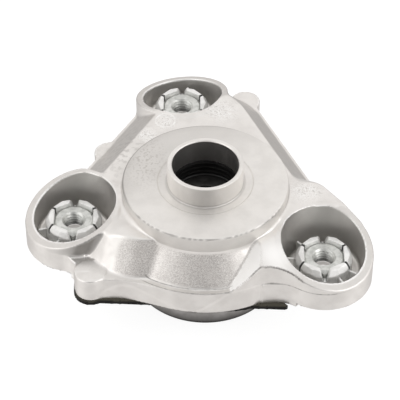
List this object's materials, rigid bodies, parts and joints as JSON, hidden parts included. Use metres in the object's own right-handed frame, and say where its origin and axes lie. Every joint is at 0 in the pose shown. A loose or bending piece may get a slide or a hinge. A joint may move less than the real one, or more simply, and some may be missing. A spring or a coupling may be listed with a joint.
{
  "type": "strut mount",
  "caption": "Lobed cast strut top mount with caged captive nuts, a raised bearing seat and neck, and a bonded rubber bush held under it by a riveted plate.",
  "frame": {"origin": "on the hub axis, in the plane of the lobes' mounting pads", "axes": "+Z along the hub axis towards the strut, as the picture shows it; +X to the right and +Y to the back, with the back lobe behind the hub"},
  "size_m": [0.1549, 0.1444, 0.0678],
  "materials": {
    "cast_aluminium": "blasted die casting, warm light grey, with turned faces on the hub",
    "cage_metal": "satin light grey",
    "zinc_steel": "zinc plated, cool grey",
    "shell_steel": "satin drawn steel with a dark lower edge",
    "bush_rubber": "moulded black rubber",
    "sleeve_steel": "dark phosphated steel",
    "black_plate": "black coated steel sheet",
    "rivet_metal": "plain light grey"
  },
  "bodies": {
    "root": {"housing": "cast_aluminium", "nut_cage_left": "cage_metal", "nut_cage_right": "cage_metal", "nut_cage_back": "cage_metal", "captive_nuts": "zinc_steel", "bush_shell": "shell_steel", "bush_rubber": "bush_rubber", "rod_sleeve": "sleeve_steel", "retaining_plate": "black_plate", "plate_rivets": "rivet_metal"}
  },
  "joints": []
}
